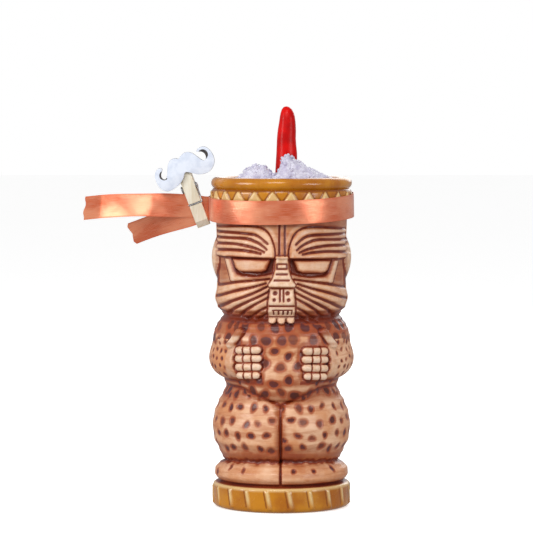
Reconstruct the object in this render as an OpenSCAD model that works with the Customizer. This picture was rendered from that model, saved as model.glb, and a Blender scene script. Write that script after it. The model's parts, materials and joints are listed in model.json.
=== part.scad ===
// Ceramic tiki idol mug filled with crushed ice and a red chilli pepper, dressed with a satin
// ribbon that a small sprung clothes-peg with a moustache plaque pinches at the idol's right side.
// Millimetres, +Z up. The origin is the centre of the flat foot; the idol faces -Y.

/* [Mug] */
// Height of the mug from the foot to the lip
mug_h = 178; // [176:1:180]
// Radius of the rounded lip
lip_r = 38; // [37.5:0.1:38.4]
// Thickness of the solid floor under the drink
floor_t = 8; // [6:0.5:12]
// Radius of the drinking hole in the head
head_bore_r = 30.5; // [29:0.1:31]
// Height of the inside step at the neck
neck_step_z = 107; // [105:1:109]
// Raised triangles round the rim
rim_triangles = 24; // [18:1:28]
// Slanted ribs round the base
base_ribs = 20; // [16:1:24]
// Depth of the carved lines
carve_d = 0.9; // [0.5:0.1:1.2]

/* [Ribbon] */
// Width of the satin ribbon
ribbon_w = 12.7; // [10:0.1:14]
// Thickness of the ribbon
ribbon_t = 0.3; // [0.25:0.01:0.3]
// Height of the ribbon's loop at the mug's axis
ribbon_z = 162.1; // [160:0.1:163]
// Reach of the long tail from the peg
long_tail = 63; // [40:1:80]
// Reach of the short tail from the peg
short_tail = 38; // [20:1:50]

/* [Peg] */
// Length of the clothes-peg
peg_len = 35; // [33:0.5:38]
// Width of the clothes-peg
peg_w = 6.8; // [6:0.1:7]
// Distance of the spring's coil from the jaw end
coil_z = 22; // [21:0.5:23]
// Thickness of each leg with the jaws shut
leg_t = 3.6; // [3.4:0.1:3.8]
// Radius of the spring wire
wire_r = 0.45; // [0.35:0.05:0.5]
// Lean of the peg away from the mug
peg_lean = 20.5; // [15:0.5:25]

/* [Moustache] */
// Thickness of the plaque
plaque_t = 1.6; // [1:0.1:2.5]
// Slope of the plaque
plaque_tilt = 27; // [20:1:30]

/* [Ice and pepper] */
// Radius of the packed ice
ice_r = 30.2; // [28:0.1:30.2]
// Height of the top of the ice pack at its middle
ice_top = 183; // [180:1:186]
// Height of the pepper's tip
pepper_top = 216; // [205:1:220]
// Radius of the pepper's thick end
pepper_r = 6; // [5:0.1:6.2]
// Clearance round the pepper in the ice
socket_gap = 0.4; // [0.3:0.05:0.6]

/* [Hidden] */
$fn = 96;

// Outer profile of the mug as [height, radius] stations, from the foot to the lip.
body_keys = [[1.4, 36.3], [2.6, 36.6], [12, 36.6], [12.7, 36.3], [13.4, 34.8], [14.2, 32.8], [16.5, 35.4], [20, 35.5], [25.6, 31.8], [29.5, 33.2], [37, 36.4],
             [45, 37.1], [52, 36.1], [58, 33.8], [65.5, 30], [69, 31], [74, 35], [80, 37], [87, 37.5], [92, 37.2], [98.6, 34.9], [103.5, 31.2],
             [107, 34.2], [113, 35.8], [120, 34.8], [136, 34.9], [156, 35.4], [160, 36.8],
             [171, 37.1], [172, 36.6]];
belly_y = 15.8;            // the belly is part of a ball this far before the axis
belly_z = 73.5;
belly_r0 = 23.4;
front_cols = 48;           // columns of the skin over the front
cols = 84;                 // columns all the way round
// Inner profile as [height, radius] stations, from the floor to the neck step.
cavity_keys = [[16, 25.6], [28, 25.8], [45, 30.4], [56, 29], [66, 24], [81, 31.6], [94, 29], [103, 26.4]];
ribbon_pitch = 3;          // fore-and-aft lean of the ribbon's loop, degrees
ribbon_roll = -1.5;        // side-to-side lean of the ribbon's loop, degrees
ribbon_in_r = 38.7;        // inside radius of the ribbon's loop
leave_a = 7.7;             // the ribbon leaves the mug this far either side of the -X direction
join_x = -39.2;            // where the two ribbon layers come together
jaw_x = -6.1;              // middle of the jaws, along the joined layers
layer_y = 0.16;            // each ribbon layer's distance from the middle of the jaws
jaw_gap = 0.9;             // gap between the jaws, filled by the two ribbon layers
jaw_turn = -4;             // turn of the joined layers and the peg about the upright
bite = 10.1;               // height of the ribbon's middle above the jaw tips
tail_flat = 6.4;           // the tails stay flat for this far past the middle of the jaws
arm_z = 13.2;              // height up the peg where the spring crosses a leg
coil_mid_r = 1.65;         // radius to the middle of the coil's wire
pepper_at = [2.5, 2, 0];
rib_at = 4;                // angle of the first base rib from the front, degrees
rib_slant = 0.3;           // lean of the ribs, degrees of turn for each millimetre of height

function smooth(t) = t * t * (3 - 2 * t);
// radius at height z of a profile given by stations, eased from each station to the next
function lookup_r(keys, z, i = 0) =
    z <= keys[0][0] ? keys[0][1] :
    i >= len(keys) - 1 ? keys[len(keys) - 1][1] :
    z <= keys[i + 1][0]
        ? keys[i][1] + (keys[i + 1][1] - keys[i][1])
          * smooth((z - keys[i][0]) / (keys[i + 1][0] - keys[i][0]))
        : lookup_r(keys, z, i + 1);
// a line along points p with half-width w at each, as one polygon
function side(p, i) = let (a = p[max(0, i - 1)], b = p[min(len(p) - 1, i + 1)], d = b - a) [-d[1], d[0]] / norm(d);
function stroke(p, w) = concat([for (i = [0 : len(p) - 1]) p[i] + side(p, i) * w[i]],
                               [for (i = [len(p) - 1 : -1 : 0]) p[i] - side(p, i) * w[i]]);
function even(p, w) = [for (i = p) w];

// ---- relief of the figure, as the radius of the wall at angle a (0 is the front) and height z
function clamp01(t) = min(1, max(0, t));
function step_up(x, a, b) = smooth(clamp01((x - a) / (b - a)));
function hump(d, w) = abs(d) < w ? pow(1 - d * d / (w * w), 2) : 0;
function ridge(q, a, b) = let (k = clamp01(((q - a) * (b - a)) / ((b - a) * (b - a)))) norm(q - a - (b - a) * k);
// round limb of radius r about the line a to b, drawn in [degrees, height], standing on radius r0
function limb(q, a, b, r, r0) = let (k = 0.52,
    d = ridge([q[0] * k, q[1]], [a[0] * k, a[1]], [b[0] * k, b[1]])) d < r ? r0 + sqrt(r * r - d * d) : 0;
function belly_r(a, z) = let (q = belly_r0 * belly_r0 - pow(z - belly_z, 2) - pow(belly_y * sin(a), 2))
    cos(a) > 0 && q > 0 ? belly_y * cos(a) + sqrt(q) : 0;
// brow and the lines that sweep in across the forehead to stand upright at the middle
function forehead(x, z) = let (u = (z - 137) / sqrt(max(0.03, 1 - pow(min(1, (40 - x) / 33), 2))))
    1.9 * (1 - step_up(z, 141, 153))
    - carve_d * (x < 3 ? hump(x - 1.2, 1.1) : u < 17.5 ? pow(0.5 + 0.5 * cos(360 * u / 3.2), 2) : 0);
function eye(x, z) = let (socket = step_up(x, 3.4, 5) * (1 - step_up(x, 26.4, 28.2)) * step_up(z, 125, 126.4) * (1 - step_up(z, 135.4, 136)),
                          lid = step_up(x, 6.4, 8.4) * (1 - step_up(x, 25 + (z - 136) * 0.3, 26.8 + (z - 136) * 0.3)) * step_up(z, 127.6, 129.2))
    -2.3 * socket + 2.7 * socket * lid;
function nose(x, z) = let (w = 7 - (z - 121) * 0.25)
    (2 + (136 - z) * 0.15) * (1 - step_up(x, w - 0.9, w + 0.7)) * step_up(z, 119.4, 121) * (1 - step_up(z, 135.6, 137));
function mouth(x, z) = let (w = 7.6 - (z - 101) * 0.12)
    (2.4 - 0.9 * hump(z - 110.4, 1.1) - 0.9 * hump(z - 104.4, 1)
     - (z > 104.8 && z < 109.6 ? 0.9 * max(hump(x, 0.9), hump(x - 3.6, 1.1)) : 0))
    * (1 - step_up(x, w - 0.6, w + 0.8)) * step_up(z, 100.4, 102) * (1 - step_up(z, 118.6, 120.2));
// folds that fan out across each cheek from the nose and the mouth, as [from, to] in front view
cheek_folds = [[[8, 125], [34, 120]], [[9, 120.8], [35, 115]], [[8.6, 117.4], [34, 110.4]],
               [[8.6, 114], [30, 105.6]], [[9, 109.6], [20, 103]]];
function cheek(x, z) = -1.1 * carve_d * max([for (f = cheek_folds) hump(ridge([x, z], f[0], f[1]), 1.4)]);
function temple(x, z) = 1.3 * hump(ridge([x, z], [30.8, 136], [25.4, 122]), 1.8);
// four fingers of three joints on each side of the belly
function hand_r(a, z) = a > 15 && a < 43 && z > 70.6 && z < 89.8
    ? 36.2 + (2.4 * pow(abs(cos(180 * (z - 87.2) / 4.6)), 0.7) - 0.9 * max(hump(a - 24.6, 1.9), hump(a - 33.4, 1.9)))
             * step_up(a, 15, 17.2) * (1 - step_up(a, 41, 43)) * step_up(z, 70.6, 72) * (1 - step_up(z, 88.6, 89.8)) : 0;
function legs_gap(x, z) = z < 60 ? -5 * hump(x, z > 50 ? 2 + (z - 50) * 0.9 : 2) * step_up(z, 14.4, 16) : 0;
// slanted ribs of the base band, and triangles of the rim band that narrow towards the lip
function turn_off(a, pitch, at) = let (t = (a - at) / pitch) abs(t - round(t)) * pitch;
function rib(a, z) = z > 1.4 && z < 12.4 ? 0.7 * (1 - step_up(turn_off(a, 360 / base_ribs, rib_at - (z - 7) * rib_slant), 1.2, 3.6)) : 0;
function triangle(a, z) = z > 158.6 && z < 171 ? let (w = 7.3 - (z - 159) * 0.5)
    1.1 * (1 - step_up(turn_off(a, 360 / rim_triangles, 180 / rim_triangles), w - 0.8, w + 0.8)) : 0;
function wall_r(a, z) = let (
    b = abs(a > 180 ? a - 360 : a), plain = lookup_r(body_keys, z), x = b < 90 ? 35 * sin(b) : 99,
    arm = z > 66 && z < 106 ? max(limb([b, z], [24, 80.2], [100, 80.6], 9.8, 29.2),
                                  limb([b, z], [38, 96.4], [47, 89.2], 2.4, 36.6)) : 0)
    max(plain, arm, z > 50 && z < 96 && b < 90 ? belly_r(b, z) : 0, hand_r(b, z))
    + rib(a, z) + triangle(a, z) + (z > 15 && z < 60 && x < 20 ? legs_gap(x, z) : 0)
    + (x > 35 ? 0 :
       z > 136 && z < 157 ? forehead(x, z) * (1 - step_up(b, 58, 66)) :
       z > 100 && z < 137 ? (x < 9 ? nose(x, z) + mouth(x, z) : 0) + (z > 121 ? eye(x, z) + temple(x, z) : 0)
                            + (z > 102 && z < 126.5 ? cheek(x, z) : 0) : 0)
    + (z > 120 && z < 150 && b > 74 && b < 110 ? 2.9 * sqrt(hump(norm([(b - 92) * 0.6, z - 134]), 10.5)) : 0);
// angles of the skin's columns, close together over the front
function column(i) = i < front_cols ? -60 + 120 * i / front_cols : 60 + 240 * (i - front_cols) / (cols - front_cols);
// heights of the skin's rings, close where the carving is
rings = concat([1.4, 2.6, 7, 12, 12.7, 13.4, 14.6, 16.5, 20, 26, 29.5, 36, 45, 52, 58, 66],
               [for (k = [0 : 8]) 71.1 + 2.3 * k], [93, 96.4, 99.6, 103.5], [for (k = [0 : 10]) 105 + 2 * k],
               [127.4, 131, 135.4, 136.2], [for (k = [0 : 4]) 139.8 + 4 * k], [158.6, 159.6, 170.9, 172]);
// plain rounds of the skin as [radius, height]: under the foot's edge, over the lip and down the inside to the floor
foot_rounds = [[33.6, 0], [34.9, 0.4]];
lip_rounds = [for (t = [-60 : 30 : 60]) [lip_r - 3.2 + 3.2 * cos(t), mug_h - 3.2 + 3.2 * sin(t)]];
inside_rounds = concat([[lip_r - 3.4, mug_h], [head_bore_r + 0.8, mug_h - 1.4], [head_bore_r, mug_h - 4],
                        [head_bore_r, neck_step_z], [26.8, neck_step_z]],
                       [for (z = [100, 94, 81, 66, 58, 45, 28, 16]) [lookup_r(cavity_keys, z), z]],
                       [[24, floor_t + 1.5], [21, floor_t]]);
function turned(rounds) = [for (q = rounds, i = [0 : cols - 1]) let (a = column(i)) [q[0] * sin(a), -q[0] * cos(a), q[1]]];

module mug() color("wheat") {
    points = concat(turned(foot_rounds),
        [for (z = rings, i = [0 : cols - 1]) let (a = column(i), r = wall_r(a, z)) [r * sin(a), -r * cos(a), z]],
        turned(lip_rounds), turned(inside_rounds));
    n = len(points) / cols;
    polyhedron(points = points, faces = concat([[for (i = [0 : cols - 1]) i]],
        [for (k = [0 : n - 2], i = [0 : cols - 1]) let (j = (i + 1) % cols)
            [k * cols + i, (k + 1) * cols + i, (k + 1) * cols + j, k * cols + j]],
        [[for (i = [cols - 1 : -1 : 0]) (n - 1) * cols + i]]));
}

// the ribbon's loop lies in its own slightly leaning plane
module ribbon_plane() translate([0, 0, ribbon_z]) rotate([ribbon_pitch, ribbon_roll, 0]) children();
// beyond the join both layers lie in the jaws' own plane
module jaw_frame() ribbon_plane() translate([join_x, 0, 0]) rotate([0, 0, jaw_turn]) children();
module strip(p) translate([0, 0, -ribbon_w / 2]) linear_extrude(ribbon_w)
    polygon(stroke(p, even([0 : len(p) - 1], ribbon_t / 2)));
// points of a tail in plan, from inside the jaws: past them it sways in depth as it runs out
function tail_plan(reach, y, sway, waves) = [for (i = [0 : 16])
    let (x = 2.6 - (reach + 2.6) * i / 16, t = max(0, -x - tail_flat) / (reach - tail_flat))
    [x, y + sway * (1 - cos(waves * 360 * t)) / 2 * min(1, t * 4)]];
// plan of the loop: front layer in the jaws, round the mug, back layer in the jaws
function jaw_point(x, y) = [join_x + x * cos(jaw_turn) - y * sin(jaw_turn), x * sin(jaw_turn) + y * cos(jaw_turn)];
loop_plan = concat([jaw_point(jaw_x - 2, -layer_y), jaw_point(0.1, -layer_y)],
                   [for (i = [0 : 96]) let (a = 180 + leave_a + (360 - 2 * leave_a) * i / 96)
                       (ribbon_in_r + ribbon_t / 2) * [cos(a), sin(a)]],
                   [jaw_point(0.1, layer_y), jaw_point(jaw_x - 2, layer_y)]);
module ribbon() color([0.88, 0.45, 0.28]) {
    ribbon_plane() strip(loop_plan);
    jaw_frame() {
        // long tail, nearly level
        translate([jaw_x, 0, 1.2]) rotate([0, 2.2, 0]) strip(tail_plan(long_tail, -layer_y, -3, 1.4));
        // short tail, drooping behind the long one, with a swallow-tail end
        translate([jaw_x, 0, -0.6]) rotate([0, -17.5, 0]) difference() {
            strip(tail_plan(short_tail, layer_y, 3.4, 0.5));
            translate([-short_tail, -20, 0]) rotate([-90, 0, 0]) linear_extrude(40)
                polygon([[-1, -7.4], [-1, 7.4], [6, 0]]);
        }
    }
}

module peg_frame() jaw_frame() translate([jaw_x, 0, 0]) rotate([0, -peg_lean - ribbon_roll, 0])
    translate([0, 0, -bite]) children();
// one wooden leg seen from its side: y goes out from the jaw face, z up from the jaw tip
module leg_side() difference() {
    polygon([[jaw_gap / 2, 0], [1.7, 0], [leg_t, 3.4], [leg_t + 0.2, 12], [leg_t + 0.1, peg_len - 0.6], [leg_t - 0.4, peg_len],
             [2.7, peg_len], [2.4, peg_len - 0.4], [jaw_gap / 2, coil_z + 2]]);
    translate([0, coil_z]) circle(r = coil_mid_r + wire_r + 0.2);
    translate([jaw_gap / 2 - 0.2, 8]) circle(r = 1.1);
    translate([leg_t - 0.4, arm_z - 0.6]) square([2, 1.2]);
}
// +1 for the back leg, -1 for the front leg
module peg_leg(s) multmatrix([[0, 0, 1, -peg_w / 2], [s, 0, 0, 0], [0, 1, 0, 0], [0, 0, 0, 1]])
    linear_extrude(peg_w) leg_side();
module peg_front_leg() color([0.9, 0.87, 0.8]) peg_frame() peg_leg(-1);
module peg_back_leg() color([0.9, 0.87, 0.8]) peg_frame() peg_leg(1);

module rod(a, b) {
    d = b - a;
    translate(a) rotate([0, acos(d[2] / norm(d)), atan2(d[1], d[0])]) cylinder(r = wire_r - 0.05, h = norm(d), $fn = 60);
}
module bead(p) translate(p) sphere(r = wire_r, $fn = 60);
module turns(x0, n) translate([x0, 0, coil_z]) rotate([0, 90, 0]) rotate_extrude()
    for (i = [0 : n - 1]) translate([coil_mid_r, i * 1.8 * wire_r]) circle(r = wire_r, $fn = 60);
// an arm runs down beside a leg and hooks across its outer face; s is the leg, x its side
module spring_arm(s, x) {
    top = [x, s * (coil_mid_r - 0.1), coil_z + 0.3];
    bend = [x, s * (leg_t - 0.4 + wire_r), arm_z];
    tip = [-x * 0.86, s * (leg_t - 0.4 + wire_r), arm_z];
    rod(top, bend);
    rod(bend, tip);
    bead(bend);
    bead(tip);
}
module peg_spring() color("silver") peg_frame() {
    turns(-3.25, 10);
    spring_arm(-1, 4.04);
}
module peg_spring_back_arm() color("silver") peg_frame() {
    turns(-4.3, 1);
    spring_arm(1, -4.3);
}

// outline of the moustache: two fat lobes whose tips curl up and in
moustache = [[-12.4, 3.4], [-13.6, 2.2], [-13.9, 0.7], [-13.3, -0.7], [-12, -0.9], [-10.7, 0.5], [-9.4, 2.7], [-8, 4.9], [-6.1, 6.7],
             [-3.9, 7.1], [-2.2, 6.5], [-1.1, 5.7], [0.5, 6.5], [2.9, 7.2], [5, 6.7], [6.9, 5.2], [8.2, 2.9], [9.2, 0.9], [10.4, -1],
             [11.6, -1.3], [12.7, 0.1], [12.7, 2.1], [11.6, 3.6], [10.1, 4.3], [10.8, 5.9], [13.3, 5.8], [15.2, 4.4], [16.3, 1.8],
             [16.5, -1.4], [15.6, -4.4], [13.8, -6.4], [11.4, -7.7], [8.4, -7.9], [4.7, -6.6], [1.9, -4.4], [-1.1, -2.6], [-3.8, -5.2],
             [-7.5, -7.1], [-12, -7.8], [-15.1, -7], [-17.1, -4.2], [-17.6, -0.4], [-17, 2.5], [-15.6, 4.7], [-13.6, 5.8]];
plaque_at = [2, 33.5];     // middle of the plaque across and up the front leg
module moustache_plaque() color("white") peg_frame()
    translate([plaque_at[0], -leg_t - 0.22, plaque_at[1]]) rotate([90, peg_lean - plaque_tilt, 0])
        linear_extrude(plaque_t) polygon(moustache);

ice_keys = [[ice_r, 172], [28.4, 176.6], [22, 179.4], [12, ice_top - 1.2], [0, ice_top]];
module pepper_socket(gap) translate(pepper_at) {
    translate([0, 0, 150]) cylinder(r = pepper_r + gap, h = 80);
}
module ice_pack() color([0.85, 0.86, 0.93]) difference() {
    rotate_extrude() polygon(concat([[0, neck_step_z + 0.2], [ice_r, neck_step_z + 0.2]], ice_keys));
    pepper_socket(socket_gap);
}
// one lump of crushed ice: the hull of a block turned two ways
module lump(p, size, seed) {
    r = rands(0, 360, 3, seed);
    k = rands(0.6, 1, 3, seed + 50);
    translate(p) rotate(r) hull() {
        cube([size, size * k[0], size * k[1]], center = true);
        rotate([35, 40, 20]) cube([size * k[1], size * k[2], size * 0.8], center = true);
    }
}
// lumps as [x, y, z, size]: one big piece at the left, a pile before the pepper and a tail of pieces to the right
lumps = [[-15.5, -9, 180.5, 9], [-10, -12, 179.8, 8], [-20, -4, 178.4, 6.5], [3.4, -10.5, 183.5, 11], [9.5, -10, 181.8, 9],
         [14.5, -11, 180, 8], [20.5, -6, 178, 7], [25.5, -3, 176, 5], [5, -17, 179.5, 9], [-3.4, -16.5, 178.6, 7],
         [16, 6, 180, 8], [-9, 12, 180, 9], [4, 15, 179.6, 9], [-17, 7, 178.6, 7]];
module ice_lumps() color([0.9, 0.91, 0.97]) difference() {
    for (i = [0 : len(lumps) - 1]) lump([lumps[i][0], lumps[i][1], lumps[i][2]], lumps[i][3], i + 3);
    rotate_extrude() polygon(concat([[0, 150], [ice_r, 150]], [for (k = ice_keys) [k[0], k[1] + 0.02]]));
    pepper_socket(socket_gap);
    difference() {
        translate([0, 0, 150]) cylinder(r = 60, h = mug_h - 150 + 2);
        translate([0, 0, 149]) cylinder(r = ice_r - 0.2, h = 60);
    }
}

module pepper_flesh() color([0.8, 0.06, 0.04]) translate(pepper_at) rotate_extrude() polygon(concat(
    [[0, 163], [2.6, 163]],
    [for (t = [10 : 20 : 90]) [2.6 + (pepper_r - 2.6) * sin(t), 167 - 4 * cos(t)]],
    [for (t = [0.12 : 0.11 : 0.9]) [pepper_r * (1 - 0.34 * t * t), 167 + (pepper_top - 171) * t]],
    [for (t = [0 : 15 : 75]) [pepper_r * 0.66 * cos(t), pepper_top - 4 + 4 * sin(t)]],
    [[0, pepper_top]]));
module pepper_calyx() color([0.25, 0.42, 0.16]) translate(pepper_at) {
    rotate_extrude() polygon([[0, 161.6], [3.4, 161.8], [4, 162.4], [4, 163], [0, 163]]);
    translate([0, 0, 154]) cylinder(r = 1.3, h = 8);
}

mug();
ribbon();
peg_front_leg();
peg_back_leg();
peg_spring();
peg_spring_back_arm();
moustache_plaque();
ice_pack();
ice_lumps();
pepper_flesh();
pepper_calyx();
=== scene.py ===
import json
import math

import bmesh
import bpy
import numpy as np
from mathutils import Matrix, Vector

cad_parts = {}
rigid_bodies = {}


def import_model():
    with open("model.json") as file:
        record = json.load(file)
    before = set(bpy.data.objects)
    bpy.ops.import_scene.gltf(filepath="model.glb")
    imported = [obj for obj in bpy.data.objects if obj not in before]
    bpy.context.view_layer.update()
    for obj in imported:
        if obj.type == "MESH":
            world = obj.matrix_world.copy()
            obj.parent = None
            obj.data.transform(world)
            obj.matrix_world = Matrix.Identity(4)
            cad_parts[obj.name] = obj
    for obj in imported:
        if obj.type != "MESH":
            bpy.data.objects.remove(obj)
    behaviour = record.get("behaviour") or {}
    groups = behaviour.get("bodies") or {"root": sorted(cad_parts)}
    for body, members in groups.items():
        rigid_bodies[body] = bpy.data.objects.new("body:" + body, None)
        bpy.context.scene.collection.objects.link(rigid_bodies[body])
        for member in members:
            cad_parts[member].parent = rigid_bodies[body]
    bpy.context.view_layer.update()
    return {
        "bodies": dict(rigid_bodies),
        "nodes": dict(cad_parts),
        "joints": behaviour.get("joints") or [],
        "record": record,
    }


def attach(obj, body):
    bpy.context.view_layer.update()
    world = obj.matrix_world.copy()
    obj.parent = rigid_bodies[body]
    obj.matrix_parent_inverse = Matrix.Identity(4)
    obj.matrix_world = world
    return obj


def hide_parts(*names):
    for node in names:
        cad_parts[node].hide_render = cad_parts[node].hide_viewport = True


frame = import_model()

mm = 0.001


def clearSelection():
    if bpy.context.object and bpy.context.object.mode != "OBJECT":
        bpy.ops.object.mode_set(mode="OBJECT")
    bpy.ops.object.select_all(action="DESELECT")


def newest(name):
    piece = bpy.context.object
    piece.name = piece.data.name = name
    return piece


def pickFaces(piece, test):
    # selects the faces whose centre and normal pass the test, in face mode
    bpy.context.tool_settings.mesh_select_mode = (False, False, True)
    mesh = bmesh.from_edit_mesh(piece.data)
    for face in mesh.faces:
        face.select = bool(test(face.calc_center_median(), face.normal))
    mesh.select_flush_mode()
    bmesh.update_edit_mesh(piece.data)


def placeHere(piece):
    # puts the piece's place into its mesh
    clearSelection()
    piece.select_set(True)
    bpy.context.view_layer.objects.active = piece
    bpy.ops.object.transform_apply(location=True, rotation=True, scale=True)


def applyModifier(piece, kind, **settings):
    bpy.context.view_layer.objects.active = piece
    made = piece.modifiers.new(kind.title(), kind)
    for key, value in settings.items():
        setattr(made, key, value)
    bpy.ops.object.modifier_apply(modifier=made.name)


def smoothShade(piece, angle=40):
    clearSelection()
    piece.select_set(True)
    bpy.context.view_layer.objects.active = piece
    bpy.ops.object.shade_smooth_by_angle(angle=math.radians(angle))


def dress(piece, material, body, replaced=()):
    piece.data.materials.clear()
    piece.data.materials.append(material)
    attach(piece, body)
    if replaced:
        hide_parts(*replaced)


def coordinates(mesh):
    co = np.empty(len(mesh.vertices) * 3)
    mesh.vertices.foreach_get("co", co)
    return co.reshape(-1, 3)


def setCoordinates(mesh, co):
    mesh.vertices.foreach_set("co", np.ascontiguousarray(co, dtype=np.float32).ravel())
    mesh.update()


def newSheet(name, across, rows):
    # a flat grid, -1 to 1 each way, that is then rolled or bent into shape
    clearSelection()
    bpy.ops.mesh.primitive_grid_add(x_subdivisions=across, y_subdivisions=rows, size=2)
    piece = newest(name)
    return piece, coordinates(piece.data)


def gridNumber(values, last):
    # which column or row of a sheet each point is in
    return np.rint((values + 1) / 2 * last).astype(int)


def closeShell(threshold, openEnd=False):
    # merges the newest piece's seams and poles, fills its open end and points its faces outwards
    bpy.ops.object.mode_set(mode="EDIT")
    bpy.ops.mesh.select_all(action="SELECT")
    bpy.ops.mesh.remove_doubles(threshold=threshold)
    if openEnd:
        bpy.ops.mesh.select_all(action="DESELECT")
        bpy.ops.mesh.select_non_manifold()
        bpy.ops.mesh.fill()
        bpy.ops.mesh.select_all(action="SELECT")
    bpy.ops.mesh.normals_make_consistent(inside=False)
    bpy.ops.object.mode_set(mode="OBJECT")


def curvePoint(before, start, end, after, t):
    # a point on the smooth curve from start to end
    return 0.5 * (2 * start + (end - before) * t + (2 * before - 5 * start + 4 * end - after) * t * t
                  + (3 * start - before - 3 * end + after) * t ** 3)


def paintLayer(mesh, name, values):
    layer = mesh.attributes.new(name, "FLOAT", "POINT")
    layer.data.foreach_set("value", np.ascontiguousarray(values, dtype=np.float32))


class Wire:
    # a socket that Python's operators work on
    def __init__(self, shader, socket):
        self.shader, self.socket = shader, socket

    def maths(self, operation, other, flip=False):
        pair = (other, self) if flip else (self, other)
        return self.shader.add("ShaderNodeMath", {"operation": operation}, {0: pair[0], 1: pair[1]})

    def __add__(self, other): return self.maths("ADD", other)
    def __radd__(self, other): return self.maths("ADD", other, True)
    def __sub__(self, other): return self.maths("SUBTRACT", other)
    def __rsub__(self, other): return self.maths("SUBTRACT", other, True)
    def __mul__(self, other): return self.maths("MULTIPLY", other)
    def __rmul__(self, other): return self.maths("MULTIPLY", other, True)


class Finish:
    def __init__(self, name, **fixed):
        self.material = bpy.data.materials.new(name)
        self.material.use_nodes = True
        self.tree = self.material.node_tree
        self.shader = self.tree.nodes["Principled BSDF"]
        for key, value in fixed.items():
            self.shader.inputs[key.replace("_", " ")].default_value = value
        self.place = self.add("ShaderNodeTexCoord", out="Object")

    def add(self, kind, settings=None, sockets=None, out=0):
        node = self.tree.nodes.new(kind)
        for key, value in (settings or {}).items():
            setattr(node, key, value)
        for key, value in (sockets or {}).items():
            if isinstance(value, Wire):
                self.tree.links.new(value.socket, node.inputs[key])
            else:
                node.inputs[key].default_value = value
        return Wire(self, node.outputs[out])

    def noise(self, scale, detail=4.0, rough=0.55, where=None, distortion=0.0):
        return self.add("ShaderNodeTexNoise", None, {"Vector": where or self.place, "Scale": scale, "Detail": detail,
                                                     "Roughness": rough, "Distortion": distortion}, "Fac")

    def stretched(self, scale, turn=(0, 0, 0)):
        return self.add("ShaderNodeMapping", None, {"Vector": self.place, "Scale": scale, "Rotation": turn})

    def layer(self, name):
        return self.add("ShaderNodeAttribute", {"attribute_name": name}, None, "Fac")

    def fit(self, value, low, high, to=(0.0, 1.0)):
        return self.add("ShaderNodeMapRange", {"interpolation_type": "SMOOTHSTEP"},
                        {"Value": value, "From Min": low, "From Max": high, "To Min": to[0], "To Max": to[1]})

    def blend(self, amount, first, second):
        # a colour mix: 0, 6 and 7 are its factor and two colours, 2 its colour output
        colours = {"data_type": "RGBA", "clamp_factor": True}
        return self.add("ShaderNodeMix", colours, {0: amount, 6: first, 7: second}, 2)

    def bump(self, height, strength, distance, under=None):
        sockets = {"Height": height, "Strength": strength, "Distance": distance}
        if under:
            sockets["Normal"] = under
        return self.add("ShaderNodeBump", None, sockets)

    def feed(self, **wires):
        for key, wire in wires.items():
            self.tree.links.new(wire.socket, self.shader.inputs[key.replace("_", " ")])
        return self.material


def tint(red, green, blue):
    # an sRGB colour, 0 to 255, as linear light
    def line(v):
        v /= 255
        return v / 12.92 if v <= 0.04045 else ((v + 0.055) / 1.055) ** 2.4
    return (line(red), line(green), line(blue), 1.0)


cameraPlan = dict(aim=(-8.1, 0, 129.5), stand=(-8.1, -1606, 220), lens=200.9, clip=(0.05, 30))
eye = bpy.data.cameras.new("eye")
eye.lens, eye.sensor_width = cameraPlan["lens"], 36
eyePiece = bpy.data.objects.new("eye", eye)
bpy.context.collection.objects.link(eyePiece)
eyePiece.location = Vector(cameraPlan["stand"]) * mm
eyePiece.rotation_euler = (Vector(cameraPlan["aim"]) - Vector(cameraPlan["stand"])).to_track_quat("-Z", "Y").to_euler()
eye.clip_start, eye.clip_end = cameraPlan["clip"]
bpy.context.scene.camera = eyePiece
bpy.context.scene.view_settings.view_transform = "Standard"

clearSelection()
bpy.ops.mesh.primitive_plane_add(size=14, location=(0, 0, -0.0002))
floor = newest("floor")
floor.visible_diffuse = floor.visible_glossy = False  # keeps the floor's glow off the mug
floorFinish = Finish("floorPaper", Roughness=0.9, Emission_Strength=0.56)
paper = floorFinish.blend(floorFinish.noise(2.0), tint(250, 250, 250), tint(253, 253, 253))
floor.data.materials.append(floorFinish.feed(Base_Color=paper))

lightAim = Vector((0, 0, 0.09))
lightPlan = [("sideSoftLeft", (-1.15, -0.62, 0.42), 0.55, 9), ("sideSoftRight", (1.0, -0.85, 0.3), 0.5, 5.6),
             ("frontTopSoft", (-0.2, -1.0, 0.95), 0.5, 6), ("backSoft", (0.3, 1.2, 0.7), 0.9, 5)]
for name, place, size, power in lightPlan:
    lamp = bpy.data.lights.new(name, "AREA")
    lamp.size, lamp.energy = size, power
    lampPiece = bpy.data.objects.new(name, lamp)
    bpy.context.collection.objects.link(lampPiece)
    lampPiece.location = place
    lampPiece.rotation_euler = (lightAim - Vector(place)).to_track_quat("-Z", "Y").to_euler()
# the white sweep behind is brighter than the light that it throws on the mug
world = bpy.data.worlds.new("studio")
world.use_nodes = True
sky = world.node_tree
roomLight, backdrop = sky.nodes["Background"], sky.nodes.new("ShaderNodeBackground")
ray, choose = sky.nodes.new("ShaderNodeLightPath"), sky.nodes.new("ShaderNodeMixShader")
roomLight.inputs["Color"].default_value = backdrop.inputs["Color"].default_value = (1, 1, 1, 1)
roomLight.inputs["Strength"].default_value = 0.42
backdrop.inputs["Strength"].default_value = 1.0
sky.links.new(ray.outputs["Is Camera Ray"], choose.inputs[0])
sky.links.new(roomLight.outputs[0], choose.inputs[1])
sky.links.new(backdrop.outputs[0], choose.inputs[2])
sky.links.new(choose.outputs[0], sky.nodes["World Output"].inputs["Surface"])
bpy.context.scene.world = world
print("stage set: camera, floor and lights")


def ease(t):
    t = np.clip(t, 0, 1)
    return t * t * (3 - 2 * t)


def rise(v, start, end):
    return ease((v - start) / (end - start))


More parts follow.
